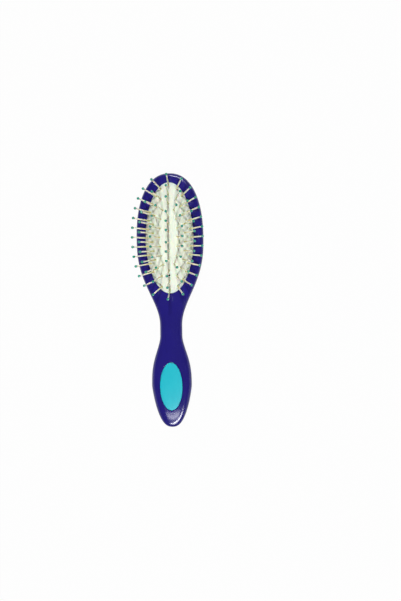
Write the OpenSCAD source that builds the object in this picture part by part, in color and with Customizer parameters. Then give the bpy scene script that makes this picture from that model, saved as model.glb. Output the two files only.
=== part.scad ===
// Detangling brush: two moulded body shells, a soft grip inlay, and a domed air cushion that carries
// four rings of straight pins with bead tips. The brush lies on its back, pins up, head towards +Y.
// The origin is under the middle of the brush, on the surface that it lies on.

/* [Body] */
// Width of the rim beside the cushion
rim_w = 8.3; // [7.5:0.1:12]
// Width of the rim at the head's end
rim_end_w = 8.1; // [7.5:0.1:12]
// Distance from the cushion to the start of the neck
throat_len = 27.4; // [22:0.2:34]
// Length of the straight part of the neck
neck_len = 8.2; // [2:0.2:14]
// Width of the neck
neck_w = 18.8; // [16:0.2:24]
// Length of the handle from the neck to its end
handle_len = 77.5; // [70:0.5:105]
// Width of the handle at the grip
grip_w = 33.9; // [30:0.1:40]
// Distance from the handle's end to its widest line
grip_off = 35.4; // [33:0.2:40]
// Height of the joint between the two shells
part_h = 8.4; // [7.5:0.1:9]
// Height of the rim around the cushion
rim_h = 12.5; // [12:0.1:15]
// Height of the neck
neck_h = 13.2; // [12:0.1:16]
// Height of the handle at the grip
grip_h = 15.2; // [14:0.1:18]
// Height that the handle's top falls to at its end
end_h = 10.2; // [9.8:0.1:12]
// Radius of the rim's outer edge
rim_round = 3.6; // [3:0.1:5]
// Radius of the handle's upper edges
grip_round = 14; // [9:0.5:18]
// Radius of the upper edge at the handle's end
end_round = 4.5; // [3.5:0.5:8]
// Radius of the back's edges
back_round = 16; // [10:0.5:20]
// How far the underside rises at the neck
neck_rise = 1.6; // [0:0.1:3]
// Depth of the flat that the brush rests on
rest_cut = 0.25; // [0.2:0.05:0.5]
// Least wall of the shells
wall = 2.2; // [1.6:0.1:2.6]

/* [Shell joint] */
// Diameter of the pegs beside the cushion
peg_d = 2.6; // [2:0.1:3]
// Diameter of the pegs on the centre line
centre_peg_d = 4; // [3:0.1:5]
// Height of the pegs
peg_h = 2.2; // [1.5:0.1:2.4]
// Distance of the side pegs from the cushion's middle
peg_off = 17; // [12:1:22]
// Distance of the last peg from the handle's end
end_peg_off = 9.5; // [8:0.5:11]

/* [Grip inlay] */
// Width of the inlay
inlay_w = 18.9; // [16:0.1:22]
// Length of the inlay
inlay_len = 40.4; // [34:0.2:44]
// Distance from the handle's end to the inlay's middle
inlay_off = 34.4; // [32:0.2:38]
// Depth of the inlay's recess where the handle is lowest beside it
inlay_t = 1.4; // [1:0.1:1.8]
// How far the inlay stands above the handle
inlay_proud = 0.2; // [0:0.05:0.4]
// Wall behind the inlay
inlay_back = 1.6; // [1.2:0.1:2]

/* [Cushion] */
// Width of the cushion in its opening
cushion_w = 40.4; // [37:0.2:46]
// Length of the cushion in its opening
cushion_len = 93.8; // [88:0.2:112]
// Rise of the dome above its edge
crown_h = 9; // [7:0.25:10]
// Thickness of the rubber
rubber_t = 1.8; // [1.2:0.1:2]
// Depth of the cushion's edge below the rim
edge_drop = 0.6; // [0.3:0.1:1]
// Width of the flange under the rim
flange_w = 1.8; // [1.2:0.1:2.2]
// Thickness of the flange
flange_t = 1.6; // [1:0.1:1.8]
// Diameter of the vent hole
vent_d = 1.6; // [1:0.1:2]
// Distance of the vent hole from the cushion's middle, towards the handle
vent_off = 32; // [31:0.25:33]

/* [Pins] */
// Diameter of a pin
pin_d = 1.3; // [1:0.05:1.5]
// Length of a pin above the rubber, to the middle of its bead
pin_reach = 20; // [17:0.5:22]
// Diameter of the bead
bead_d = 2.3; // [1.9:0.05:2.6]
// Diameter of the pin's foot under the rubber
foot_d = 2.8; // [2.2:0.1:3]
// Thickness of the pin's foot
foot_t = 0.6; // [0.4:0.1:1]
// Distance of the first pin of the centre row from the cushion's middle
row_first = 4.8; // [3.5:0.1:5.5]
// Pitch of the centre row
row_pitch = 6.8; // [6:0.1:7]
// Pins in the inner ring
inner_count = 16; // [12:2:18]
// Pins in the middle ring
middle_count = 22; // [16:2:24]
// Pins in the outer ring
outer_count = 28; // [20:2:30]

/* [Fits] */
// Gap between the cushion, the inlay and the shells
fit_gap = 0.15; // [0.1:0.05:0.2]
// Gap between a pin and its hole, on the radius
pin_gap = 0.05; // [0.03:0.01:0.08]
// Gap between a pin's foot and the rubber
foot_gap = 0.3; // [0.2:0.05:0.4]

/* [Hidden] */
// Each ring's half width and half length, as shares of the cushion's
ring_shares = [[0.361, 0.610], [0.6535, 0.772], [0.86, 0.936]];
ring_names = ["inner", "middle", "outer"];
ring_counts = [inner_count, middle_count, outer_count];
// Zones on each side of a ring, listed from the head to the neck
zone_names = [[""], ["_head", "_neck"], ["_head", "_mid", "_neck"]];
row_half_count = 3;
// Powers of the dome's profile, across and along
dome_across_power = 2;
dome_along_power = 2.6;
// Powers of the outline at the head's end, the throat, the grip and the handle's end
head_power = 2.27;
throat_power = 2.6;
throat_root_power = 2.3;
grip_power = 0.7;
tail_power = 1.24;
tail_root_power = 0.4;
// Power of the fall of the handle's top from the grip to its end
end_power = 2.2;

cushion_a = cushion_w / 2;
cushion_b = cushion_len / 2;
head_w = cushion_w + 2 * rim_w;
// Distances along the brush, from the head's end
cushion_at = rim_end_w + cushion_b;
throat_at = cushion_at + cushion_b;
neck_start = throat_at + throat_len;
neck_stop = neck_start + neck_len;
body_len = neck_stop + handle_len;
grip_at = body_len - grip_off;
inlay_at = body_len - inlay_off;

cushion_y = body_len / 2 - cushion_at;
dome_z0 = rim_h - edge_drop;
flange_top = part_h + flange_t;
groove_w = flange_w + fit_gap;
pocket_w = rubber_t + fit_gap;
inlay_y = body_len / 2 - inlay_at;
cavity_len = inlay_len + 2 * wall;
overrun = wall;
probe = cushion_w / 1000;

// Facets of the lofted forms
body_stations = 64;
body_across = 24;
loop_sides = 48;
dome_rings = 9;
ring_step = 3;

function clamp(v) = min(1, max(0, v));
// Smooth step with flat ends and no jump in curvature
function ease(v) = let (u = clamp(v)) u * u * u * (u * (6 * u - 15) + 10);
function mix(a, b, f) = a + (b - a) * f;
function soft_min(a, b) = pow(pow(a, -4) + pow(b, -4), -0.25);
function flat(lists) = [for (list = lists) for (item = list) item];

// Half width of the body at the distance s from the head's end
function half_w(s) =
    s <= cushion_at ? head_w / 2 * pow(1 - pow(1 - max(0, s) / cushion_at, head_power), 1 / head_power)
    : s <= neck_start
        ? mix(neck_w / 2, head_w / 2,
            pow(1 - pow((s - cushion_at) / (neck_start - cushion_at), throat_power), throat_root_power))
    : s <= grip_at
        ? mix(neck_w / 2, grip_w / 2, ease(pow(clamp((s - neck_stop) / (grip_at - neck_stop)), grip_power)))
    : grip_w / 2 * pow(1 - pow(min(1, (s - grip_at) / (body_len - grip_at)), tail_power), tail_root_power);

// A value that runs from the head through the neck and the grip to the handle's end
function along(s, head, neck, grip, end) =
    s <= neck_start ? mix(head, neck, ease((s - throat_at) / (neck_start - throat_at)))
    : s <= grip_at ? mix(neck, grip, ease((s - neck_stop) / (grip_at - neck_stop)))
    : mix(grip, end, pow(clamp((s - grip_at) / (body_len - grip_at)), end_power));

function spread(s) = norm([1, (half_w(s + probe) - half_w(s - probe)) / (2 * probe)]);
// Distance of the centre line from the outline
function inset(s) = soft_min(half_w(s) / spread(s), soft_min(s, body_len - s));
// Depth of the centre line in edge radii: under 1, the section is all edge
function inset_share(s, edge) = inset(s) / soft_min(edge, half_w(s));
// Share of the full height that the section has at the share q of its half width
function section_share(s, q, edge) =
    let (g = inset_share(s, edge), power = 2 * pow(1 + pow(g, 4), 0.25))
    sqrt(1 - pow(1 - min(1, g), 2)) * sqrt(max(0, 1 - pow(abs(q), power)));

function top_z(s, q) =
    part_h + (along(s, rim_h, neck_h, grip_h, end_h) - part_h)
    * section_share(s, q, along(s, rim_round, grip_round, grip_round, end_round));
function back_z(s, q) =
    part_h - (part_h + rest_cut - along(s, 0, neck_rise, 0, neck_rise / 2)) * section_share(s, q, back_round);

// Height and outward direction of the cushion's dome over a point seen from above, from its middle
function dome_share(p) = norm([p.x / cushion_a, p.y / cushion_b]);
function dome_power(p) =
    let (t = dome_share(p)) t == 0 ? dome_across_power
    : mix(dome_across_power, dome_along_power, pow(p.y / cushion_b / t, 2));
function dome_z(p) = dome_z0 + crown_h * (1 - pow(dome_share(p), dome_power(p)));
function unit(v) = v / norm(v);
function dome_out(p) =
    unit([dome_z(p - [probe, 0]) - dome_z(p + [probe, 0]), dome_z(p - [0, probe]) - dome_z(p + [0, probe]), 2 * probe]);
function dome_point(p, off) = concat(p, dome_z(p)) + off * dome_out(p);

// Where a ring's pins stand: equal steps along the ring, counted from its head end,
// with the same number below zero on the other side
function ring_a(ring) = cushion_a * ring_shares[ring].x;
function ring_b(ring) = cushion_b * ring_shares[ring].y;
function ring_xy(ring, angle) = [ring_a(ring) * sin(angle), ring_b(ring) * cos(angle)];
ring_tables = [
    for (ring = [0:2])
    [for (a = 0, run = 0; a <= 180; run = run + norm(ring_xy(ring, a + ring_step) - ring_xy(ring, a)), a = a + ring_step)
        [run, a]]
];
function ring_half(ring) = ring_tables[ring][len(ring_tables[ring]) - 1][0];
function pin_xy(ring, i) =
    let (p = ring_xy(ring, lookup(2 * abs(i) / ring_counts[ring] * ring_half(ring), ring_tables[ring])))
    [sign(i) * p.x, p.y];

// Every zone of pins that moves as one: its name and the points where its pins stand
function side_zone(ring, side, j) =
    let (n = ring_counts[ring] / 2 - 1, zones = len(zone_names[ring]),
        first = round(j * n / zones) + 1, last = round((j + 1) * n / zones))
    [str(ring_names[ring], side > 0 ? "_right" : "_left", zone_names[ring][j]),
        [for (i = [first:last]) pin_xy(ring, side * i)]];
ZONES = concat(
    [["centre_row", [for (i = [0:row_half_count - 1]) for (side = [-1, 1]) [0, side * (row_first + i * row_pitch)]]]],
    flat([for (ring = [0:2]) concat(
        [[str(ring_names[ring], "_ends"), [pin_xy(ring, 0), pin_xy(ring, ring_counts[ring] / 2)]]],
        flat([for (side = [-1, 1]) [for (j = [0:len(zone_names[ring]) - 1]) side_zone(ring, side, j)]])
    )])
);
all_pins = flat([for (zone = ZONES) zone[1]]);

// Closes a row of loops, each with the same number of points, between two end points
module skin(loops, start, stop) {
    n = len(loops[0]);
    last = len(loops) - 1;
    stop_i = len(loops) * n + 1;
    function at(k, j) = 1 + k * n + j % n;
    polyhedron(
        points = concat([start], flat(loops), [stop]),
        faces = concat(
            [for (j = [0:n - 1]) [0, at(0, j + 1), at(0, j)]],
            [for (k = [0:last - 1]) for (j = [0:n - 1]) [at(k, j), at(k, j + 1), at(k + 1, j)]],
            [for (k = [0:last - 1]) for (j = [0:n - 1]) [at(k, j + 1), at(k + 1, j + 1), at(k + 1, j)]],
            [for (j = [0:n - 1]) [at(last, j), at(last, j + 1), stop_i]]
        )
    );
}

// One half of the body's outer form, on its side of the joint plane; side is 1 above and -1 below
module half_body(side) {
    places = [for (k = [1:body_stations - 1]) body_len / 2 * (1 - cos(180 * k / body_stations))];
    skin(
        [for (s = places) [
            for (j = [0:body_across])
            let (q = side * sin(mix(-90, 90, j / body_across)))
            [q * half_w(s), body_len / 2 - s, side > 0 ? top_z(s, q) : back_z(s, q)]
        ]],
        [0, body_len / 2, part_h],
        [0, -body_len / 2, part_h]
    );
}

// Upright oval that follows the cushion's outline at a distance, from the height low to high
module cushion_oval(off, low, high) {
    translate([0, cushion_y, low])
        scale([cushion_a + off, cushion_b + off, 1])
            cylinder(r = 1, h = high - low, $fn = 96);
}

// Calls its children at each peg, with the peg's diameter in $peg_d
module at_pegs() {
    groove_x = (cushion_a + groove_w) * sqrt(1 - pow(peg_off / (cushion_b + groove_w), 2));
    for (side = [-1, 1], off = [-peg_off, peg_off]) {
        $peg_d = peg_d;
        translate([side * (groove_x + half_w(cushion_at - off)) / 2, cushion_y + off, part_h]) children();
    }
    for (s = [neck_stop, body_len - end_peg_off]) {
        $peg_d = centre_peg_d;
        translate([0, body_len / 2 - s, part_h]) children();
    }
}

inlay_floor = min(top_z(inlay_at, inlay_w / grip_w), top_z(inlay_at + inlay_len / 2, 0)) - inlay_t;

// Hollow of the handle, from the joint plane to the given depth on one side
module handle_cavity(depth) {
    translate([0, body_len / 2 - grip_at, part_h])
        scale([grip_w / 2 - wall, cavity_len / 2, depth])
            sphere(r = 1, $fn = 64);
}

module front_shell() {
    color("#2a2182")
        difference() {
            half_body(1);
            cushion_oval(fit_gap, part_h - overrun, rim_h + overrun);
            cushion_oval(groove_w, part_h - overrun, flange_top);
            handle_cavity(inlay_floor - inlay_back - part_h);
            translate([0, inlay_y, inlay_floor])
                scale([inlay_w / 2 + fit_gap, inlay_len / 2 + fit_gap, 1])
                    cylinder(r = 1, h = grip_h, $fn = 96);
            at_pegs()
                translate([0, 0, -overrun])
                    cylinder(d = $peg_d + 2 * pin_gap, h = peg_h + fit_gap + overrun, $fn = 32);
        }
}

module back_shell() {
    color("#2a2182") {
        difference() {
            half_body(-1);
            cushion_oval(-pocket_w, wall, part_h + overrun);
            handle_cavity(part_h - wall);
            translate([-head_w, -body_len, -part_h])
                cube([2 * head_w, 2 * body_len, part_h]);
        }
        at_pegs()
            cylinder(d = $peg_d, h = peg_h, $fn = 32);
    }
}

module grip_inlay() {
    function inlay_xy(share, angle) = [inlay_w / 2 * share * cos(angle), inlay_len / 2 * share * sin(angle)];
    function inlay_top(p) = let (s = inlay_at - p.y) top_z(s, p.x / half_w(s)) + inlay_proud;
    function oval(share) = [for (j = [0:loop_sides - 1]) inlay_xy(share, -360 * j / loop_sides)];
    color("#2fb9cc")
        translate([0, inlay_y, 0])
            skin(
                concat(
                    [[for (p = oval(1)) [p.x, p.y, inlay_floor]]],
                    [for (share = [1:-0.2:0.15]) [for (p = oval(share)) [p.x, p.y, inlay_top(p)]]]
                ),
                [0, 0, inlay_floor],
                [0, 0, inlay_top([0, 0])]
            );
}

module cushion() {
    function oval(share, off) = [
        for (j = [0:loop_sides - 1]) let (a = -360 * j / loop_sides)
        [(cushion_a * share + off) * cos(a), (cushion_b * share + off) * sin(a)]
    ];
    function dome_loop(share, off) = [for (p = oval(share, 0)) dome_point(p, off)];
    inner_edge = dome_loop(1, -rubber_t);
    shares = [for (k = [1:dome_rings]) sin(90 * k / dome_rings)];
    color("#f3efe2")
        difference() {
            translate([0, cushion_y, 0])
                skin(
                    concat(
                        [for (k = [0:dome_rings - 1]) dome_loop(shares[k], -rubber_t)],
                        [[for (p = inner_edge) [p.x, p.y, part_h]]],
                        [[for (p = oval(1, flange_w)) [p.x, p.y, part_h]]],
                        [[for (p = oval(1, flange_w)) [p.x, p.y, flange_top]]],
                        [[for (p = oval(1, 0)) [p.x, p.y, flange_top]]],
                        [for (k = [dome_rings - 1:-1:0]) dome_loop(shares[k], 0)]
                    ),
                    [0, 0, dome_z([0, 0]) - rubber_t],
                    [0, 0, dome_z([0, 0])]
                );
            for (p = all_pins)
                on_dome(p)
                    cylinder(d = pin_d + 2 * pin_gap, h = 4 * rubber_t, center = true, $fn = 24);
            on_dome([0, -vent_off])
                cylinder(d = vent_d, h = 4 * rubber_t, center = true, $fn = 24);
        }
}

// Puts its children on the dome at a point, with their Z pointing out of the rubber
module on_dome(p) {
    out = dome_out(p);
    translate(dome_point(p, 0) + [0, cushion_y, 0])
        rotate([0, acos(out.z), atan2(out.y, out.x)])
            children();
}

module pins(points) {
    foot_top = -rubber_t - foot_gap;
    color("#eee2b8")
        for (p = points)
            on_dome(p) {
                translate([0, 0, foot_top - foot_t]) cylinder(d = foot_d, h = foot_t, $fn = 32);
                translate([0, 0, foot_top]) cylinder(d = pin_d, h = pin_reach - foot_top, $fn = 32);
            }
}

module beads(points) {
    color("#0e8e76")
        for (p = points)
            on_dome(p)
                translate([0, 0, pin_reach])
                    difference() {
                        sphere(d = bead_d, $fn = 32);
                        translate([0, 0, -bead_d]) cylinder(d = pin_d, h = bead_d, $fn = 32);
                    }
}

front_shell();
back_shell();
grip_inlay();
cushion();
for (zone = ZONES) {
    pins(zone[1]);
    beads(zone[1]);
}
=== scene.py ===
# Detangling brush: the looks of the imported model. Metres, pins up, head towards +Y.
import math

import bmesh
import bpy
import numpy as np
from mathutils import Matrix, Vector


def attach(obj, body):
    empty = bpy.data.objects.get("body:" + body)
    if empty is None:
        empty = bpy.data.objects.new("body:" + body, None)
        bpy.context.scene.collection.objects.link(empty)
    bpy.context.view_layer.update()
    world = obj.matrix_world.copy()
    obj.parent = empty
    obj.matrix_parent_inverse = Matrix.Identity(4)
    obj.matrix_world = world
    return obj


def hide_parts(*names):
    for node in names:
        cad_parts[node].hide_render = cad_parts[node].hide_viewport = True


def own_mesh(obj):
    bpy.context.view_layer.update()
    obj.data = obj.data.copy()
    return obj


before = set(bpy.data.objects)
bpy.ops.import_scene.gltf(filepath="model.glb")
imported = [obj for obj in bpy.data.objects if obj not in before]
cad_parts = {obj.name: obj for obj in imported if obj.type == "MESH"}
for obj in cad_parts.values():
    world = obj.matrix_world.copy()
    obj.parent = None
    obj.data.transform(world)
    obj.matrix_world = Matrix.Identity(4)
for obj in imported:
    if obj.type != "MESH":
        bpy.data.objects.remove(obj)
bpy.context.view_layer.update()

# All shapes below are worked out in millimetres and put into the meshes in metres
mm = 0.001

# Turns in radians
quarter = math.pi / 2
half = math.pi
whole = 2 * math.pi

# A length that keeps a division away from zero, and the step over which slopes are measured
tiny = 1e-6
probe = 0.04


# Mesh helpers

# Points closer than mergeReach, in metres, become one. Edges that bend more than crease degrees stay sharp.
meshForm = {"mergeReach": 2e-7, "crease": 40}


def gridFaces(rows, columns, start, closed):
    # Quads between the neighbours of a grid whose points are numbered row by row
    row = np.arange(rows - 1)[:, None]
    column = np.arange(columns if closed else columns - 1)[None, :]
    near = start + row * columns + column
    far = start + row * columns + (column + 1) % columns
    return np.stack([near, far, far + columns, near + columns], -1).reshape(-1, 4)


def joinGrids(grids):
    # Several grids, each (points, closed, material number), as one list of points, faces and numbers
    points, faces, shades = [], [], []
    start = 0
    for grid, closed, shade in grids:
        rows, columns = grid.shape[:2]
        made = gridFaces(rows, columns, start, closed)
        points.append(grid.reshape(-1, 3))
        faces.append(made)
        shades.append(np.full(len(made), shade))
        start += rows * columns
    return np.concatenate(points), np.concatenate(faces), np.concatenate(shades)


def makePiece(name, grids, materials, crease=meshForm["crease"], marks=None):
    # A closed piece from grids in millimetres: doubles merged, faces outwards, smooth between creases.
    # The marks are attributes with one value a point.
    points, faces, shades = joinGrids(grids)
    mesh = bpy.data.meshes.new(name)
    mesh.from_pydata((points * mm).tolist(), [], faces.tolist())
    mesh.polygons.foreach_set("material_index", shades.astype(np.int32))
    for label, values in (marks or {}).items():
        mesh.attributes.new(label, "FLOAT", "POINT").data.foreach_set("value", values.astype(np.float32))
    for material in materials:
        mesh.materials.append(material)
    work = bmesh.new()
    work.from_mesh(mesh)
    bmesh.ops.remove_doubles(work, verts=work.verts, dist=meshForm["mergeReach"])
    bmesh.ops.dissolve_degenerate(work, edges=work.edges, dist=meshForm["mergeReach"])
    bmesh.ops.recalc_face_normals(work, faces=work.faces)
    work.to_mesh(mesh)
    work.free()
    mesh.polygons.foreach_set("use_smooth", np.ones(len(mesh.polygons), bool))
    mesh.set_sharp_from_angle(angle=math.radians(crease))
    piece = bpy.data.objects.new(name, mesh)
    bpy.context.scene.collection.objects.link(piece)
    return piece


def ease(v):
    # Smooth step with flat ends: 6u^5 - 15u^4 + 10u^3
    u = np.clip(v, 0, 1)
    return u**3 * (u * (6 * u - 15) + 10)


def between(a, b, share):
    # From a to b in a straight line
    return a + (b - a) * share


def softMin(a, b):
    # The lesser of two lengths, with a smooth passage where they are alike: (a^-4 + b^-4)^(-1/4)
    return (np.maximum(a, tiny) ** -4 + np.maximum(b, tiny) ** -4) ** -0.25


# The body's form: s runs from the head's end along the brush, q is a share of the half width.
# Where the body is narrow, the seam takes no more than one part in seamPart of the way in.

bodyForm = {
    "length": 215.0,
    "headWidth": 57.0,
    "neckWidth": 18.8,
    "gripWidth": 33.9,
    "widestAt": 55.0,
    "throatAt": 101.9,
    "neckFrom": 129.3,
    "neckTo": 137.5,
    "gripAt": 179.6,
    "headPower": 2.27,
    "throatPower": 2.6,
    "throatRoot": 2.3,
    "gripPower": 0.7,
    "tailPower": 1.24,
    "tailRoot": 0.4,
    "jointHeight": 8.4,
    "rimHeight": 12.5,
    "neckHeight": 13.2,
    "gripHeight": 15.2,
    "endHeight": 10.2,
    "endPower": 2.2,
    "rimRound": 3.6,
    "gripRound": 14.0,
    "endRound": 4.5,
    "backRound": 16.0,
    "neckRise": 1.6,
    "restCut": 0.25,
    "seam": 0.12,
    "seamPart": 10,
}


def halfWidth(s):
    # Head: a rounded end of a given power. Throat: (1 - share^power)^root, down to the neck.
    # Grip: a smooth step from the neck. Tail: (1 - share^power)^root down to nothing.
    b = bodyForm
    head, neck, grip = b["headWidth"] / 2, b["neckWidth"] / 2, b["gripWidth"] / 2
    nose = 1 - np.clip(s, 0, b["widestAt"]) / b["widestAt"]
    throat = np.clip((s - b["widestAt"]) / (b["neckFrom"] - b["widestAt"]), 0, 1)
    rise = np.clip((s - b["neckTo"]) / (b["gripAt"] - b["neckTo"]), 0, 1)
    tail = np.clip((s - b["gripAt"]) / (b["length"] - b["gripAt"]), 0, 1)
    return np.select(
        [s <= b["widestAt"], s <= b["neckFrom"], s <= b["gripAt"]],
        [
            head * (1 - nose ** b["headPower"]) ** (1 / b["headPower"]),
            between(neck, head, (1 - throat ** b["throatPower"]) ** b["throatRoot"]),
            between(neck, grip, ease(rise ** b["gripPower"])),
        ],
        grip * (1 - tail ** b["tailPower"]) ** b["tailRoot"],
    )


def along(s, head, neck, grip, end):
    # Runs in smooth steps from the head to the neck and on to the grip, then as a power to the end
    b = bodyForm
    toNeck = ease((s - b["throatAt"]) / (b["neckFrom"] - b["throatAt"]))
    toGrip = ease((s - b["neckTo"]) / (b["gripAt"] - b["neckTo"]))
    toEnd = np.clip((s - b["gripAt"]) / (b["length"] - b["gripAt"]), 0, 1) ** b["endPower"]
    return np.select(
        [s <= b["neckFrom"], s <= b["gripAt"]],
        [between(head, neck, toNeck), between(neck, grip, toGrip)],
        between(grip, end, toEnd),
    )


def sectionShare(s, q, edge):
    # Share of the full height. The depth is how far the centre line lies inside the outline, in edge radii.
    # Along, the share is a quarter circle of it up to 1. Across, it is sqrt(1 - |q|^power), where the power
    # is 2 * (1 + depth^4)^(1/4): an ellipse at the ends, flat with rounded edges where the body is wide.
    slope = (halfWidth(s + probe) - halfWidth(s - probe)) / (2 * probe)
    inset = softMin(halfWidth(s) / np.hypot(1, slope), softMin(s, bodyForm["length"] - s))
    depth = inset / np.maximum(softMin(edge, halfWidth(s)), probe)
    power = 2 * (1 + depth**4) ** 0.25
    ends = np.sqrt(1 - (1 - np.minimum(1, depth)) ** 2)
    return ends * np.sqrt(np.maximum(0, 1 - np.abs(q) ** power))


def topHeight(s, q):
    # From the joint up to the full height at that place, times the section's share
    b = bodyForm
    full = along(s, b["rimHeight"], b["neckHeight"], b["gripHeight"], b["endHeight"])
    edge = along(s, b["rimRound"], b["gripRound"], b["gripRound"], b["endRound"])
    return b["jointHeight"] + (full - b["jointHeight"]) * sectionShare(s, q, edge)


def backHeight(s, q):
    # From the joint down, times the section's share, and cut flat at zero, where the brush lies
    b = bodyForm
    rise = along(s, 0, b["neckRise"], 0, b["neckRise"] / 2)
    drop = (b["jointHeight"] + b["restCut"] - rise) * sectionShare(s, q, b["backRound"])
    return np.maximum(0, b["jointHeight"] - drop)


def shareOfWidth(x, s):
    # The q of a point: its x over the half width, from -1 to 1
    return np.clip(x / np.maximum(halfWidth(s), tiny), -1, 1)


def place(x, s, z):
    # Distances from the head's end become Y
    x, s, z = np.broadcast_arrays(x, s, z)
    return np.stack([x, bodyForm["length"] / 2 - s, z], -1)


# Ovals that the front shell leaves open: for the cushion, and for the grip inlay

openingForm = {
    "at": 55.0,
    "halfWidth": 20.2,
    "halfLength": 46.9,
    "gap": 0.15,
    "lip": 0.5,
    "under": 10.0,
    "groove": 1.95,
}
recessForm = {
    "at": 180.6,
    "halfWidth": 9.45,
    "halfLength": 20.2,
    "gap": 0.15,
    "lip": 0.35,
    "floor": 12.1815,
}


def ovalPath(form, turn, off):
    # An oval widened by off, from its end nearest the head round its right side: x, and s along the brush
    x = (form["halfWidth"] + off) * np.sin(turn)
    return x, form["at"] - (form["halfLength"] + off) * np.cos(turn)


# Front shell: rays from the outline in to the opening, the centre line or the recess

frontForm = {
    "openingRays": 181,
    "neckRays": 61,
    "recessRays": 97,
    "tailRays": 31,
    "rows": 32,
    "lipRows": 6,
    "throatReach": 53.0,
    "recessReach": 24.6,
}


def frontShellGrids():
    # The right half and its mirror. A ray is straight, from the outline in to the lip or the centre line.
    b, f, o, r = bodyForm, frontForm, openingForm, recessForm
    openTurn = np.linspace(0, half, f["openingRays"])
    recessTurn = np.linspace(0, half, f["recessRays"])
    tailShare = np.sin(np.linspace(0, quarter, f["tailRays"]))
    neckShare = np.linspace(0, 1, f["neckRays"])

    def chain(openS, recessS):
        # Places along the brush: beside the opening, down the neck, beside the recess, down the tail
        toRecess = between(openS[-1], recessS[0], neckShare)
        toEnd = between(recessS[-1], b["length"], tailShare)
        return np.concatenate([openS, toRecess, recessS, toEnd])

    def innerPath(openOff, recessOff):
        # Where the rays end: on the two ovals, and between and behind them on the centre line
        openX, openS = ovalPath(o, openTurn, openOff)
        recessX, recessS = ovalPath(r, recessTurn, recessOff)
        x = np.concatenate([openX, np.zeros(f["neckRays"]), recessX, np.zeros(f["tailRays"])])
        return x, chain(openS, recessS)

    openOut = o["at"] - between(o["at"], f["throatReach"], ease(openTurn / half)) * np.cos(openTurn)
    outS = chain(openOut, r["at"] - f["recessReach"] * np.cos(recessTurn))
    outX = halfWidth(outS)

    # Top: along each ray the steps grow as 1 - cos, which follows the round edge
    inX, inS = innerPath(o["gap"] + o["lip"], r["gap"] + r["lip"])
    step = (1 - np.cos(np.linspace(0, quarter, f["rows"])))[:, None]
    x, s = between(outX, inX, step), between(outS, inS, step)
    z = topHeight(s, shareOfWidth(x, s))
    reach = np.hypot(inX - outX, inS - outS)
    seam = np.minimum(b["seam"], reach / b["seamPart"])
    z[0] = b["jointHeight"] + seam
    top = place(x, s, z)

    # Seam: a chamfer at the joint, then the flat face, which goes on to the centre line under the recess
    seamShare = seam / np.maximum(reach, tiny)
    seamRow = place(between(outX, inX, seamShare), between(outS, inS, seamShare), b["jointHeight"])
    underX, underS = innerPath(o["groove"], 0)
    recessStart = f["openingRays"] + f["neckRays"]
    recessPart = slice(recessStart, recessStart + f["recessRays"])
    underX[recessPart] = 0
    under = np.stack([top[0], seamRow, place(underX, underS, b["jointHeight"])])

    # Lips: a quarter round from the top into the wall, then down the wall
    def lipGrid(form, turn, edgeZ, walls):
        bend = np.linspace(0, quarter, f["lipRows"])[:, None]
        lipX, lipS = ovalPath(form, turn, form["gap"] + form["lip"] * (1 - np.sin(bend)))
        lipZ = edgeZ - form["lip"] * (1 - np.cos(bend))
        rows = [place(lipX, lipS, lipZ)]
        for off, height in walls:
            wallX, wallS = ovalPath(form, turn, off)
            rows.append(place(wallX, wallS, height)[None])
        return np.concatenate(rows)

    openWalls = [(o["gap"], o["under"]), (o["groove"], o["under"]), (o["groove"], b["jointHeight"])]
    opening = lipGrid(o, openTurn, z[-1, : f["openingRays"]], openWalls)
    recess = lipGrid(r, recessTurn, z[-1, recessPart], [(r["gap"], r["floor"])])
    floor = np.stack([recess[-1], place(0, underS[recessPart], r["floor"])])
    right = [top, under, opening, recess, floor]
    mirror = np.array([-1, 1, 1])
    return [(grid, False, 0) for grid in right] + [(grid[:, ::-1] * mirror, False, 0) for grid in right]


# Back shell: stations along the brush and rows across it, both closer together towards the edges

backForm = {"stations": 261, "rows": 97}


def backShellGrids():
    # The skin is the back's height over the half width times q. The lid is the flat face at the joint.
    b = bodyForm
    s = b["length"] / 2 * (1 - np.cos(np.linspace(0, half, backForm["stations"])))[:, None]
    q = np.sin(np.linspace(-quarter, quarter, backForm["rows"]))[None, :]
    z = backHeight(s, q)
    seam = np.minimum(b["seam"], halfWidth(s) / b["seamPart"])
    z[:, [0, -1]] = b["jointHeight"] - seam
    skin = place(q * halfWidth(s), s, z)
    lid = place(np.array([[-1, 1]]) * (halfWidth(s) - seam), s, b["jointHeight"])
    leftSeam = np.stack([skin[:, 0], lid[:, 0]], 1)
    rightSeam = np.stack([skin[:, -1], lid[:, 1]], 1)
    return [(grid, False, 0) for grid in (skin, lid, leftSeam, rightSeam)]


# Grip inlay: rings from the middle out over the handle's own crown, a rounded edge, and a flat base

inlayForm = {"proud": 0.2, "edge": 0.45, "rings": 28, "edgeRows": 6, "sides": 144}


def inlayGrids():
    # The top is the handle's height plus what the inlay stands proud, and its edge is a quarter round
    i, r = inlayForm, recessForm
    turn = np.linspace(0, whole, i["sides"], endpoint=False)

    def crown(x, s):
        return topHeight(s, shareOfWidth(x, s)) + i["proud"]

    share = np.linspace(0, 1, i["rings"])[:, None]
    rimX, rimS = ovalPath(r, turn, -i["edge"])
    x, s = rimX * share, between(r["at"], rimS, share)
    top = place(x, s, crown(x, s))
    bend = np.linspace(0, quarter, i["edgeRows"])[:, None]
    edgeX, edgeS = ovalPath(r, turn, -i["edge"] * (1 - np.sin(bend)))
    edge = place(edgeX, edgeS, crown(rimX, rimS) - i["edge"] * (1 - np.cos(bend)))
    wallX, wallS = ovalPath(r, turn, 0)
    middle = place(0, np.full_like(wallS, r["at"]), r["floor"])
    base = np.stack([edge[-1], place(wallX, wallS, r["floor"]), middle])
    return [(grid, True, 0) for grid in (top, edge, base)]


# Cushion: a dome over an oval, 1 - t^power, where the power grows from across to along

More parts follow.
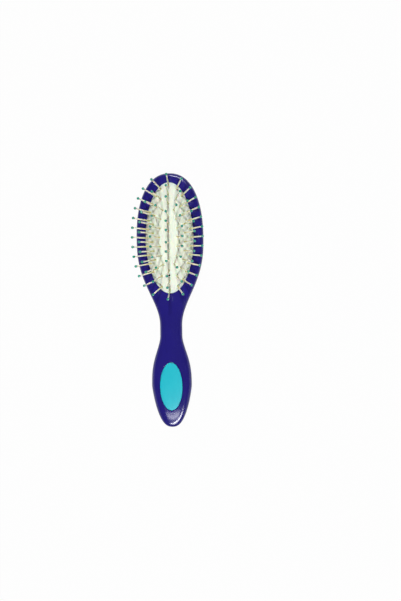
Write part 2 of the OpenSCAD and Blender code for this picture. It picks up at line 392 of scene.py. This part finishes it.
cushionForm = {
    "middle": 52.5,
    "halfWidth": 20.2,
    "halfLength": 46.9,
    "edgeHeight": 11.9,
    "crown": 9.0,
    "powerAcross": 2.0,
    "powerAlong": 2.6,
    "thick": 1.8,
    "skirt": 0.7,
    "sides": 480,
    "rowLevels": [0, 0.34, 0.6, 0.82, 1],
    "rowsX": [0, 0.361, 0.6535, 0.86, 1],
    "rowsY": [0.38, 0.61, 0.772, 0.936, 1],
    "rows": 112,
    "innerRows": 14,
    "bossRise": 0.3,
    "bossTop": 0.7,
    "bossFoot": 1.9,
    "crease": 60,
}
flangeForm = {"low": 8.4, "top": 10.0, "out": 1.8, "neck": 11.1, "sides": 120}

# The vent's lip is a list of (share of the lip's width, height over the rubber), from the outside in
ventForm = {
    "y": -32.0,
    "radius": 0.8,
    "lip": 0.32,
    "depth": 1.6,
    "wall": 0.1,
    "wallTop": -0.4,
    "lipRound": [(1.7, -0.3), (1.6, 0), (1, 0.06), (0.5, 0.05), (0, -0.06)],
    "sides": 28,
    "crease": 50,
}


def domeHeight(x, y):
    # Edge height plus crown times 1 - t^power, where t is 0 at the middle and 1 at the oval's edge
    c = cushionForm
    across, down = x / c["halfWidth"], y / c["halfLength"]
    t = np.hypot(across, down)
    power = between(c["powerAcross"], c["powerAlong"], (down / np.maximum(t, tiny)) ** 2)
    return c["edgeHeight"] + c["crown"] * (1 - t**power)


def domeOut(x, y):
    # The dome's outward direction, by central differences
    toX = domeHeight(x - probe, y) - domeHeight(x + probe, y)
    toY = domeHeight(x, y - probe) - domeHeight(x, y + probe)
    out = np.stack([toX, toY, np.full_like(toX, 2 * probe)], -1)
    return out / np.linalg.norm(out, axis=-1, keepdims=True)


def onDome(x, y, off=0):
    # Points at a height over the rubber, in the brush's own frame
    off = np.asarray(off, float)
    point = np.stack([x, y, domeHeight(x, y)], -1) + np.expand_dims(off, -1) * domeOut(x, y)
    return point + np.array([0, cushionForm["middle"], 0])


# Pins: a centre row, and three rings at equal steps along ovals, in the zones that move as one

pinLayout = {
    "rowFirst": 4.8,
    "rowPitch": 6.8,
    "rowHalf": 3,
    "rings": {
        "inner": {"count": 16, "x": 0.361, "y": 0.61, "zones": [""]},
        "middle": {"count": 22, "x": 0.6535, "y": 0.772, "zones": ["_head", "_neck"]},
        "outer": {"count": 28, "x": 0.86, "y": 0.936, "zones": ["_head", "_mid", "_neck"]},
    },
    "tableSteps": 61,
}


def ringPlaces(ring, numbers):
    # Equal steps of length along an oval from its head end; numbers below zero are on the left
    turn = np.linspace(0, half, pinLayout["tableSteps"])
    a, b = cushionForm["halfWidth"] * ring["x"], cushionForm["halfLength"] * ring["y"]
    run = np.concatenate([[0], np.cumsum(np.hypot(np.diff(a * np.sin(turn)), np.diff(b * np.cos(turn))))])
    at = np.interp(2 * np.abs(numbers) / ring["count"] * run[-1], run, turn)
    return np.sign(numbers) * a * np.sin(at), b * np.cos(at)


def pinZones():
    # Places of the pins by zone: the row, each ring's two ends, and its sides cut into near equal runs
    p = pinLayout
    steps = p["rowFirst"] + p["rowPitch"] * np.arange(p["rowHalf"])
    rowY = np.concatenate([-steps[::-1], steps])
    made = {"centre_row": (np.zeros_like(rowY), rowY)}
    for name, ring in p["rings"].items():
        made[name + "_ends"] = ringPlaces(ring, np.array([0, ring["count"] // 2]))
        last = ring["count"] // 2 - 1
        cuts = np.round(np.linspace(0, last, len(ring["zones"]) + 1)).astype(int)
        for side, sign in (("_left", -1), ("_right", 1)):
            for k, part in enumerate(ring["zones"]):
                made[name + side + part] = ringPlaces(ring, sign * np.arange(cuts[k] + 1, cuts[k + 1] + 1))
    return made


zones = pinZones()
allPins = np.concatenate([np.stack(places, -1) for places in zones.values()])


def bossHeight(points):
    # The rubber rises by a smooth step to a small boss round each pin, and drops into a pit at the vent
    c, v = cushionForm, ventForm
    pins = onDome(allPins[:, 0], allPins[:, 1])
    nearest = np.full(points.shape[:-1], np.inf)
    for pin in pins:
        nearest = np.minimum(nearest, np.linalg.norm(points - pin, axis=-1))
    boss = c["bossRise"] * (1 - ease((nearest - c["bossTop"]) / (c["bossFoot"] - c["bossTop"])))
    vent = onDome(np.zeros(1), np.array([v["y"]]))[0]
    off = np.linalg.norm(points - vent, axis=-1)
    pit = (v["depth"] + v["wall"]) * (1 - ease((off - v["radius"]) / v["lip"]))
    return boss - pit


def cushionGrids():
    # The outside with its bosses, the inside a wall's thickness under it, and the edge between them.
    # Rows widen from a line along the middle to the rim's oval, through the ovals of the rings of pins.
    c = cushionForm
    turn = np.linspace(0, whole, c["sides"], endpoint=False)

    def rowPlaces(level):
        shareX = np.interp(level, c["rowLevels"], c["rowsX"])
        shareY = np.interp(level, c["rowLevels"], c["rowsY"])
        return c["halfWidth"] * shareX * np.sin(turn), c["halfLength"] * shareY * np.cos(turn)

    x, y = rowPlaces(np.linspace(0, 1, c["rows"])[:, None])
    outer = onDome(x, y, bossHeight(onDome(x, y)))
    x, y = rowPlaces(np.linspace(1, 0, c["innerRows"])[:, None])
    inner = onDome(x, y, -c["thick"])
    skirt = outer[-1] * [1, 1, 0] + [0, 0, c["edgeHeight"] - c["skirt"]]
    edge = np.stack([outer[-1], skirt, inner[0]])
    return [(grid, True, 0) for grid in (outer, edge, inner)]


def flangeGrids():
    # The rubber's clamped edge: square-cornered, as (outwards, height) pairs carried round the oval
    c, g = cushionForm, flangeForm
    turn = np.linspace(0, whole, g["sides"], endpoint=False)
    section = [
        (0, g["neck"]),
        (0, g["top"]),
        (g["out"], g["top"]),
        (g["out"], g["low"]),
        (-c["thick"], g["low"]),
        (-c["thick"], g["neck"]),
        (0, g["neck"]),
    ]
    rows = []
    for off, height in section:
        x = (c["halfWidth"] + off) * np.sin(turn)
        y = (c["halfLength"] + off) * np.cos(turn) + c["middle"]
        rows.append(np.stack([x, y, np.full_like(turn, height)], -1))
    return [(np.stack(rows), True, 0)]


def turned(profile, x, y, sides, shade=0):
    # Revolves a profile of (radius, height) pairs about the dome's direction at each place
    profile = np.array(profile, float)
    base, out = onDome(x, y), domeOut(x, y)
    side = np.cross(out, [0.0, 1.0, 0.0])
    side /= np.linalg.norm(side, axis=-1, keepdims=True)
    other = np.cross(out, side)
    turn = np.linspace(0, whole, sides, endpoint=False)[None, :, None]
    grids = []
    for k in range(len(base)):
        ring = np.cos(turn) * side[k] + np.sin(turn) * other[k]
        grids.append(base[k] + profile[:, 0, None, None] * ring + profile[:, 1, None, None] * out[k])
    return [(grid, True, shade) for grid in grids]


# A pin from its foot under the rubber up to its tip, as (radius, height over the rubber) pairs
pinForm = {
    "sides": 14,
    "crease": 50,
    "profile": [
        (0, -2.7),
        (1.32, -2.7),
        (1.4, -2.6),
        (1.4, -2.2),
        (1.32, -2.1),
        (0.68, -2.1),
        (0.68, -0.3),
        (0.67, 0.5),
        (0.64, 8.0),
        (0.61, 15.0),
        (0.6, 19.6),
        (0, 19.7),
    ],
}

# The ball starts at ballFrom, an angle below its middle. The collar's heights are from the ball's middle.
beadForm = {
    "sides": 20,
    "crease": 50,
    "rows": 11,
    "radius": 1.15,
    "at": 20.0,
    "ballFrom": -0.8,
    "collar": [(0, -1.36), (0.64, -1.36), (0.7, -1.28), (0.74, -1.05)],
}


def beadProfile():
    # A ball on a short collar. The ball's radius and height are the cosine and the sine of an angle that
    # rises to a quarter turn.
    b = beadForm
    rise = np.linspace(b["ballFrom"], quarter, b["rows"])
    ball = [(b["radius"] * math.cos(a), b["at"] + b["radius"] * math.sin(a)) for a in rise[:-1]]
    return [(r, b["at"] + h) for r, h in b["collar"]] + ball + [(0, b["at"] + b["radius"])]


def ventGrids():
    # A cup with a thin rounded lip, open at the top; its inside has the second material, a near-black
    # painted shade that stands for the dark of the hole
    v = ventForm
    low = -v["depth"] - v["wall"]
    outer = v["radius"] + v["wall"]
    lip = [(v["radius"] + share * v["lip"], height) for share, height in v["lipRound"]]
    outside = [(0, low), (outer, low), (outer, v["wallTop"])] + lip
    inside = [lip[-1], (v["radius"], -v["depth"]), (0, -v["depth"])]
    at = np.zeros(1), np.array([v["y"]])
    return turned(outside, *at, v["sides"]) + turned(inside, *at, v["sides"], 1)


# Shader helpers

def linear(red, green, blue):
    # A colour as it reads in a picture, 0 to 255, as Blender's linear numbers, by the usual sRGB curve
    share = np.array([red, green, blue]) / 255
    made = np.where(share <= 0.04045, share / 12.92, ((share + 0.055) / 1.055) ** 2.4)
    return [float(v) for v in made] + [1.0]


def feed(tree, socket, value):
    # Links a socket to another node's output, or sets its own value
    if isinstance(value, bpy.types.NodeSocket):
        tree.links.new(value, socket)
    else:
        socket.default_value = value


def addNode(tree, kind, inputs=(), **settings):
    # The inputs are given by name or by number
    node = tree.nodes.new(kind)
    for key, value in settings.items():
        setattr(node, key, value)
    for name, value in dict(inputs).items():
        feed(tree, node.inputs[name], value)
    return node


def reckon(tree, operation, *values):
    # A Math node of sockets and numbers
    return addNode(tree, "ShaderNodeMath", enumerate(values), operation=operation).outputs[0]


def mixShaders(tree, share, first, second):
    return addNode(tree, "ShaderNodeMixShader", {0: share, 1: first, 2: second}).outputs[0]


# A Mix node's colour sockets, by number, because their names are used more than once
mixSockets = {"share": 0, "first": 6, "second": 7, "result": 2}


def mixColours(tree, share, first, second):
    m = mixSockets
    inputs = {m["share"]: share, m["first"]: first, m["second"]: second}
    return addNode(tree, "ShaderNodeMix", inputs, data_type="RGBA").outputs[m["result"]]


def rangeOf(tree, value, low, high, toLow, toHigh):
    inputs = {"Value": value, "From Min": low, "From Max": high, "To Min": toLow, "To Max": toHigh}
    return addNode(tree, "ShaderNodeMapRange", inputs).outputs["Result"]


def noiseOf(tree, spot, values):
    return addNode(tree, "ShaderNodeTexNoise", {"Vector": spot, **values}).outputs["Fac"]


def reliefOf(tree, height, depth, distance):
    inputs = {"Strength": depth, "Distance": distance, "Height": height}
    return addNode(tree, "ShaderNodeBump", inputs).outputs["Normal"]


def newGroup(name, inputs, outputs):
    # A node group with named sockets: the tree, what is given to it, and what it puts out
    tree = bpy.data.node_groups.new(name, "ShaderNodeTree")
    for direction, sockets in (("INPUT", inputs), ("OUTPUT", outputs)):
        for label, kind in sockets.items():
            tree.interface.new_socket(name=label, in_out=direction, socket_type="NodeSocket" + kind)
    return tree, tree.nodes.new("NodeGroupInput").outputs, tree.nodes.new("NodeGroupOutput").inputs


def clearedTree(owner):
    # An empty node tree in a material or a world
    owner.use_nodes = True
    owner.node_tree.nodes.clear()
    return owner.node_tree


# Shared surface effects. Scales are per metre, and the heights of reliefs are in metres.

mouldedForm = {
    "inputs": {
        "Color": "Color",
        "Second Color": "Color",
        "Drift": "Float",
        "Roughness": "Float",
        "Polish Spread": "Float",
        "Peel Scale": "Float",
        "Peel Depth": "Float",
    },
    "drift": {"Scale": 28.0, "Detail": 3.0},
    "driftRange": (0.3, 0.7),
    "polish": {"Scale": 75.0, "Detail": 5.0, "Roughness": 0.6},
    "peelDetail": 2.0,
    "peelHeight": 0.0002,
}
softForm = {
    "inputs": {
        "Color": "Color",
        "Second Color": "Color",
        "Mottle": "Float",
        "Roughness": "Float",
        "Dull Spread": "Float",
        "Grain Scale": "Float",
        "Grain Depth": "Float",
    },
    "mottle": {"Scale": 130.0, "Detail": 5.0, "Roughness": 0.6},
    "mottleRange": (0.3, 0.75),
    "dull": {"Scale": 60.0, "Detail": 3.0},
    "grainHeight": 0.0001,
}
dustForm = {
    "inputs": {"Color": "Color", "Dust Color": "Color", "Amount": "Float"},
    "color": linear(226, 224, 220),
    "specks": {"Scale": 2400.0, "Detail": 2.0},
    "speckRange": (0.62, 0.78),
    "patches": {"Scale": 45.0, "Detail": 2.0},
    "patchRange": (0.4, 0.7),
    "facingRange": (0.2, 0.9),
}
surfaceOutputs = {"Color": "Color", "Roughness": "Float", "Normal": "Vector"}


def mouldedSurfaceGroup():
    # Moulded plastic: slow drift between two tones, uneven polish, and a faint orange-peel relief
    m = mouldedForm
    tree, given, out = newGroup("mouldedSurface", m["inputs"], surfaceOutputs)
    spot = addNode(tree, "ShaderNodeTexCoord").outputs["Object"]
    share = rangeOf(tree, noiseOf(tree, spot, m["drift"]), *m["driftRange"], 0.0, given["Drift"])
    feed(tree, out["Color"], mixColours(tree, share, given["Color"], given["Second Color"]))
    polish = noiseOf(tree, spot, m["polish"])
    roughness = reckon(tree, "MULTIPLY_ADD", polish, given["Polish Spread"], given["Roughness"])
    feed(tree, out["Roughness"], roughness)
    peel = noiseOf(tree, spot, {"Scale": given["Peel Scale"], "Detail": m["peelDetail"]})
    feed(tree, out["Normal"], reliefOf(tree, peel, given["Peel Depth"], m["peelHeight"]))
    return tree


def softSkinGroup():
    # Soft plastic and rubber: a fine pebbled grain, mottling, and duller patches
    m = softForm
    tree, given, out = newGroup("softSkin", m["inputs"], surfaceOutputs)
    spot = addNode(tree, "ShaderNodeTexCoord").outputs["Object"]
    share = rangeOf(tree, noiseOf(tree, spot, m["mottle"]), *m["mottleRange"], 0.0, given["Mottle"])
    feed(tree, out["Color"], mixColours(tree, share, given["Color"], given["Second Color"]))
    dull = noiseOf(tree, spot, m["dull"])
    roughness = reckon(tree, "MULTIPLY_ADD", dull, given["Dull Spread"], given["Roughness"])
    feed(tree, out["Roughness"], roughness)
    cells = {"Vector": spot, "Scale": given["Grain Scale"]}
    pebble = addNode(tree, "ShaderNodeTexVoronoi", cells, feature="SMOOTH_F1").outputs["Distance"]
    feed(tree, out["Normal"], reliefOf(tree, pebble, given["Grain Depth"], m["grainHeight"]))
    return tree


def settledDustGroup():
    # Sparse pale specks of dust, in patches, on the faces that look up
    m = dustForm
    tree, given, out = newGroup("settledDust", m["inputs"], {"Color": "Color"})
    spot = addNode(tree, "ShaderNodeTexCoord").outputs["Object"]
    fine = rangeOf(tree, noiseOf(tree, spot, m["specks"]), *m["speckRange"], 0.0, 1.0)
    broad = rangeOf(tree, noiseOf(tree, spot, m["patches"]), *m["patchRange"], 0.0, given["Amount"])
    normal = addNode(tree, "ShaderNodeNewGeometry").outputs["Normal"]
    facing = addNode(tree, "ShaderNodeSeparateXYZ", {"Vector": normal}).outputs["Z"]
    up = rangeOf(tree, facing, *m["facingRange"], 0.0, 1.0)
    mask = reckon(tree, "MULTIPLY", reckon(tree, "MULTIPLY", fine, broad), up)
    feed(tree, out["Color"], mixColours(tree, mask, given["Color"], given["Dust Color"]))
    return tree


surfaceGroups = {"moulded": mouldedSurfaceGroup(), "soft": softSkinGroup()}
dustGroup = settledDustGroup()


def makeMaterial(name, look):
    # Base colour, roughness and relief from the shared groups; the rest is set on the shader itself
    material = bpy.data.materials.new(name)
    tree = clearedTree(material)
    surface = addNode(tree, "ShaderNodeGroup", node_tree=surfaceGroups[look["surface"]])
    for key, value in look["values"].items():
        surface.inputs[key].default_value = value
    colour = surface.outputs["Color"]
    if "dust" in look:
        dust = addNode(tree, "ShaderNodeGroup", node_tree=dustGroup)
        for key, value in (("Color", colour), ("Dust Color", dustForm["color"]), ("Amount", look["dust"])):
            feed(tree, dust.inputs[key], value)
        colour = dust.outputs["Color"]
    if "foot" in look:
        # Painted shade: a pin is darker and yellower near its foot, where the other pins shade it. This tone
        # passes into the main one along the pin, whose heights are its "reach"
        foot = look["foot"]
        reach = addNode(tree, "ShaderNodeAttribute", attribute_name="reach").outputs["Fac"]
        colour = mixColours(tree, rangeOf(tree, reach, *foot["range"], 0.0, 1.0), foot["color"], colour)
    shader = addNode(tree, "ShaderNodeBsdfPrincipled", look["shader"])
    feed(tree, shader.inputs["Base Color"], colour)
    feed(tree, shader.inputs["Roughness"], surface.outputs["Roughness"])
    feed(tree, shader.inputs["Normal"], surface.outputs["Normal"])
    addNode(tree, "ShaderNodeOutputMaterial", {"Surface": shader.outputs["BSDF"]})
    return material


bodyLook = {
    "surface": "moulded",
    "values": {
        "Color": linear(37, 30, 128),
        "Second Color": linear(33, 27, 114),
        "Drift": 0.8,
        "Roughness": 0.13,
        "Polish Spread": 0.08,
        "Peel Scale": 420.0,
        "Peel Depth": 0.03,
    },
    "dust": 0.10,
    "shader": {"IOR": 1.49},
}
inlayLook = {
    "surface": "soft",
    "values": {
        "Color": linear(10, 192, 210),
        "Second Color": linear(32, 202, 216),
        "Mottle": 0.5,
        "Roughness": 0.42,
        "Dull Spread": 0.14,
        "Grain Scale": 2600.0,
        "Grain Depth": 0.25,
    },
    "dust": 0.06,
    "shader": {"IOR": 1.47},
}
cushionLook = {
    "surface": "soft",
    "values": {
        "Color": linear(241, 247, 234),
        "Second Color": linear(233, 240, 221),
        "Mottle": 0.6,
        "Roughness": 0.5,
        "Dull Spread": 0.14,
        "Grain Scale": 1500.0,
        "Grain Depth": 0.12,
    },
    "shader": {"IOR": 1.45, "Subsurface Weight": 0.12, "Subsurface Scale": 0.003},
}
pinLook = {
    "surface": "moulded",
    "values": {
        "Color": linear(253, 250, 234),
        "Second Color": linear(245, 241, 214),
        "Drift": 0.6,
        "Roughness": 0.3,
        "Polish Spread": 0.1,
        "Peel Scale": 900.0,
        "Peel Depth": 0.05,
    },
    # Painted shade: a darker, yellower tone near the pins' feet, where the other pins shade them
    "foot": {"color": linear(214, 208, 138), "range": (3.0, 12.0)},
    "shader": {"IOR": 1.53, "Subsurface Weight": 0.15, "Subsurface Scale": 0.001},
}
beadLook = {
    "surface": "moulded",
    "values": {
        "Color": linear(54, 160, 135),
        "Second Color": linear(44, 147, 127),
        "Drift": 0.7,
        "Roughness": 0.18,
        "Polish Spread": 0.08,
        "Peel Scale": 700.0,
        "Peel Depth": 0.06,
    },
    "shader": {"IOR": 1.5, "Coat Weight": 0.3},
}
# Painted shade: near-black, for the inside of the vent's cup, where the hole is dark
paintedVentShadeLook = {
    "surface": "soft",
    "values": {
        "Color": linear(24, 20, 30),
        "Second Color": linear(14, 12, 18),
        "Mottle": 0.5,
        "Roughness": 0.8,
        "Dull Spread": 0.1,
        "Grain Scale": 1500.0,
        "Grain Depth": 0.1,
    },
    "shader": {"IOR": 1.4},
}
bodyPlastic = makeMaterial("bodyPlastic", bodyLook)
inlayRubber = makeMaterial("inlayRubber", inlayLook)
cushionRubber = makeMaterial("cushionRubber", cushionLook)
pinNylon = makeMaterial("pinNylon", pinLook)
beadGloss = makeMaterial("beadGloss", beadLook)
paintedVentShade = makeMaterial("paintedVentShade", paintedVentShadeLook)
print("materials: 6, from 3 shared groups")


# Pieces

def settle(piece, body, node):
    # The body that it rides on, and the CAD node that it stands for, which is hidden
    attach(piece, body)
    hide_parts(node)


settle(makePiece("frontShell", frontShellGrids(), [bodyPlastic]), "root", "front_shell")
settle(makePiece("backShell", backShellGrids(), [bodyPlastic]), "root", "back_shell")
settle(makePiece("gripInlay", inlayGrids(), [inlayRubber]), "root", "grip_inlay")
print("shells and inlay: done")

cushion = makePiece("cushionDome", cushionGrids(), [cushionRubber], cushionForm["crease"])
flange = makePiece("cushionFlange", flangeGrids(), [cushionRubber])
ventCup = makePiece("ventCup", ventGrids(), [cushionRubber, paintedVentShade], ventForm["crease"])
for piece in (cushion, flange, ventCup):
    settle(piece, "root", "cushion")
print("cushion: done")

for zone, (x, y) in zones.items():
    reach = np.tile(np.repeat(np.array(pinForm["profile"])[:, 1], pinForm["sides"]), len(x))
    grids = turned(pinForm["profile"], x, y, pinForm["sides"])
    pins = makePiece("pins-" + zone, grids, [pinNylon], pinForm["crease"], {"reach": reach})
    settle(pins, zone, zone + "_pins")
    grids = turned(beadProfile(), x, y, beadForm["sides"])
    beads = makePiece("beads-" + zone, grids, [beadGloss], beadForm["crease"])
    settle(beads, zone, zone + "_beads")
print("pins and beads:", len(allPins), "in", len(zones), "zones")

# The cushion and the vent's cup each get a mesh of their own
for piece in (cushion, ventCup):
    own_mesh(piece)


# Floor, lights and camera

# Places and sizes in metres, powers in watts. The glow, the bounce and the ambient are shares of white.
# The backdrop fades to nothing where the upward part of a direction reaches backdropRise.
studio = {
    "floorSize": 6.0,
    "floorColour": linear(205, 205, 205),
    "floorGlow": 0.97,
    "floorBounce": 0.4,
    "floorGap": 0.00005,
    "ambient": 0.08,
    "backdropRise": 0.3,
    "aimAt": (0, 0, 0.01),
    "lights": [
        {"name": "headLamp", "at": (0.02, 0.62, 1.03), "size": (0.2, 0.1), "power": 6.75, "sheen": False},
        {"name": "tailLamp", "at": (0.04, -0.62, 1.03), "size": (0.2, 0.1), "power": 7.6, "sheen": False},
        {"name": "headSoftbox", "at": (0.2, 0.92, 0.78), "size": (0.62, 0.07), "power": 8.9, "sheen": True},
        {"name": "tailSoftbox", "at": (0, -0.678, 0.972), "size": (0.9, 0.195), "power": 4.3, "sheen": True},
        {"name": "tailStrip", "at": (0.32, -0.93, 0.8), "size": (1.4, 0.12), "power": 18.0, "sheen": True},
    ],
}

# Places, heights and the sensor in millimetres, the turn in degrees, nearest and furthest in metres
view = {
    "imageHeight": 601,
    "mmPerPixel": 0.8461,
    "distance": 1200.0,
    "planeHeight": 9.0,
    "lookAt": (25.3, -0.85),
    "standAt": (125.4, -10.0),
    "turn": 0.8,
    "sensor": 36.0,
    "nearest": 0.01,
    "furthest": 20,
}


def backdropRays(tree):
    # 1 for rays that see the white background: the camera's, and those mirrored or let through
    rays = addNode(tree, "ShaderNodeLightPath").outputs
    mirrored = reckon(tree, "MAXIMUM", rays["Is Glossy Ray"], rays["Is Transmission Ray"])
    return reckon(tree, "MAXIMUM", rays["Is Camera Ray"], mirrored)


def makeFloor():
    edge = studio["floorSize"] / 2
    low = -studio["floorGap"]
    corners = [(-edge, -edge, low), (edge, -edge, low), (edge, edge, low), (-edge, edge, low)]
    mesh = bpy.data.meshes.new("floor")
    mesh.from_pydata(corners, [], [(0, 1, 2, 3)])
    floor = bpy.data.objects.new("floor", mesh)
    bpy.context.scene.collection.objects.link(floor)
    material = bpy.data.materials.new("floorPaper")
    tree = clearedTree(material)
    # The paper throws a soft light on what lies over it, so that the brush's back isn't dark from below
    rays = addNode(tree, "ShaderNodeLightPath").outputs
    thrown = reckon(tree, "MULTIPLY", rays["Is Diffuse Ray"], studio["floorBounce"])
    bounce = addNode(tree, "ShaderNodeEmission", {"Strength": thrown}).outputs[0]
    plain = addNode(tree, "ShaderNodeBsdfDiffuse", {"Color": studio["floorColour"]}).outputs[0]
    paper = addNode(tree, "ShaderNodeAddShader", {0: plain, 1: bounce}).outputs[0]
    # The camera and glossy surfaces see it white, with a small share of the paper, which keeps the shadow
    glow = addNode(tree, "ShaderNodeEmission", {"Strength": 1.0}).outputs[0]
    share = reckon(tree, "MULTIPLY", backdropRays(tree), studio["floorGlow"])
    seen = mixShaders(tree, share, paper, glow)
    # From below the floor lets the camera through, so that the brush's back can be looked at
    clear = addNode(tree, "ShaderNodeBsdfTransparent").outputs[0]
    behind = addNode(tree, "ShaderNodeNewGeometry").outputs["Backfacing"]
    addNode(tree, "ShaderNodeOutputMaterial", {"Surface": mixShaders(tree, behind, seen, clear)})
    mesh.materials.append(material)


def makeWorld():
    world = bpy.data.worlds.new("studioWorld")
    tree = clearedTree(world)
    white = (1, 1, 1, 1)
    ambient, backdrop = [
        addNode(tree, "ShaderNodeBackground", {"Color": white, "Strength": strength}).outputs[0]
        for strength in (studio["ambient"], 1.0)
    ]
    # The camera sees white everywhere, and a glossy surface sees the white backdrop that stands around
    rays = addNode(tree, "ShaderNodeLightPath").outputs
    aimed = addNode(tree, "ShaderNodeTexCoord").outputs["Generated"]
    rise = addNode(tree, "ShaderNodeSeparateXYZ", {"Vector": aimed}).outputs["Z"]
    wall = rangeOf(tree, rise, 0.0, studio["backdropRise"], 1.0, 0.0)
    mirrored = reckon(tree, "MULTIPLY", wall, backdropRays(tree))
    shown = reckon(tree, "MAXIMUM", rays["Is Camera Ray"], mirrored)
    addNode(tree, "ShaderNodeOutputWorld", {"Surface": mixShaders(tree, shown, ambient, backdrop)})
    bpy.context.scene.world = world


def makeLights():
    # A plain lamp gives light and no reflection, and one with a sheen gives its reflection alone
    target = Vector(studio["aimAt"])
    for setup in studio["lights"]:
        lamp = bpy.data.lights.new(setup["name"], "AREA")
        lamp.shape = "ELLIPSE"
        lamp.size, lamp.size_y = setup["size"]
        lamp.energy = setup["power"]
        light = bpy.data.objects.new(setup["name"], lamp)
        light.location = setup["at"]
        light.visible_glossy = setup["sheen"]
        light.visible_diffuse = not setup["sheen"]
        light.rotation_euler = (light.location - target).to_track_quat("Z", "Y").to_euler()
        bpy.context.scene.collection.objects.link(light)


def makeCamera():
    # The lens gives the photograph's millimetres a pixel at the height planeHeight
    height = view["planeHeight"]
    stand = Vector((*view["standAt"], height + view["distance"])) * mm
    target = Vector((*view["lookAt"], height)) * mm
    reach = (stand - target).length / mm
    lens = bpy.data.cameras.new("camera")
    lens.sensor_width = view["sensor"]
    lens.lens = view["sensor"] * reach / (view["imageHeight"] * view["mmPerPixel"])
    lens.clip_start = view["nearest"]
    lens.clip_end = view["furthest"]
    camera = bpy.data.objects.new("camera", lens)
    camera.location = stand
    angle = math.radians(view["turn"])
    back = (stand - target).normalized()
    right = Vector((math.sin(angle), math.cos(angle), 0)).cross(back).normalized()
    camera.rotation_euler = Matrix((right, back.cross(right), back)).transposed().to_euler()
    bpy.context.scene.collection.objects.link(camera)
    bpy.context.scene.camera = camera


makeFloor()
makeWorld()
makeLights()
makeCamera()
bpy.context.scene.view_settings.view_transform = "Standard"
print("studio: done")
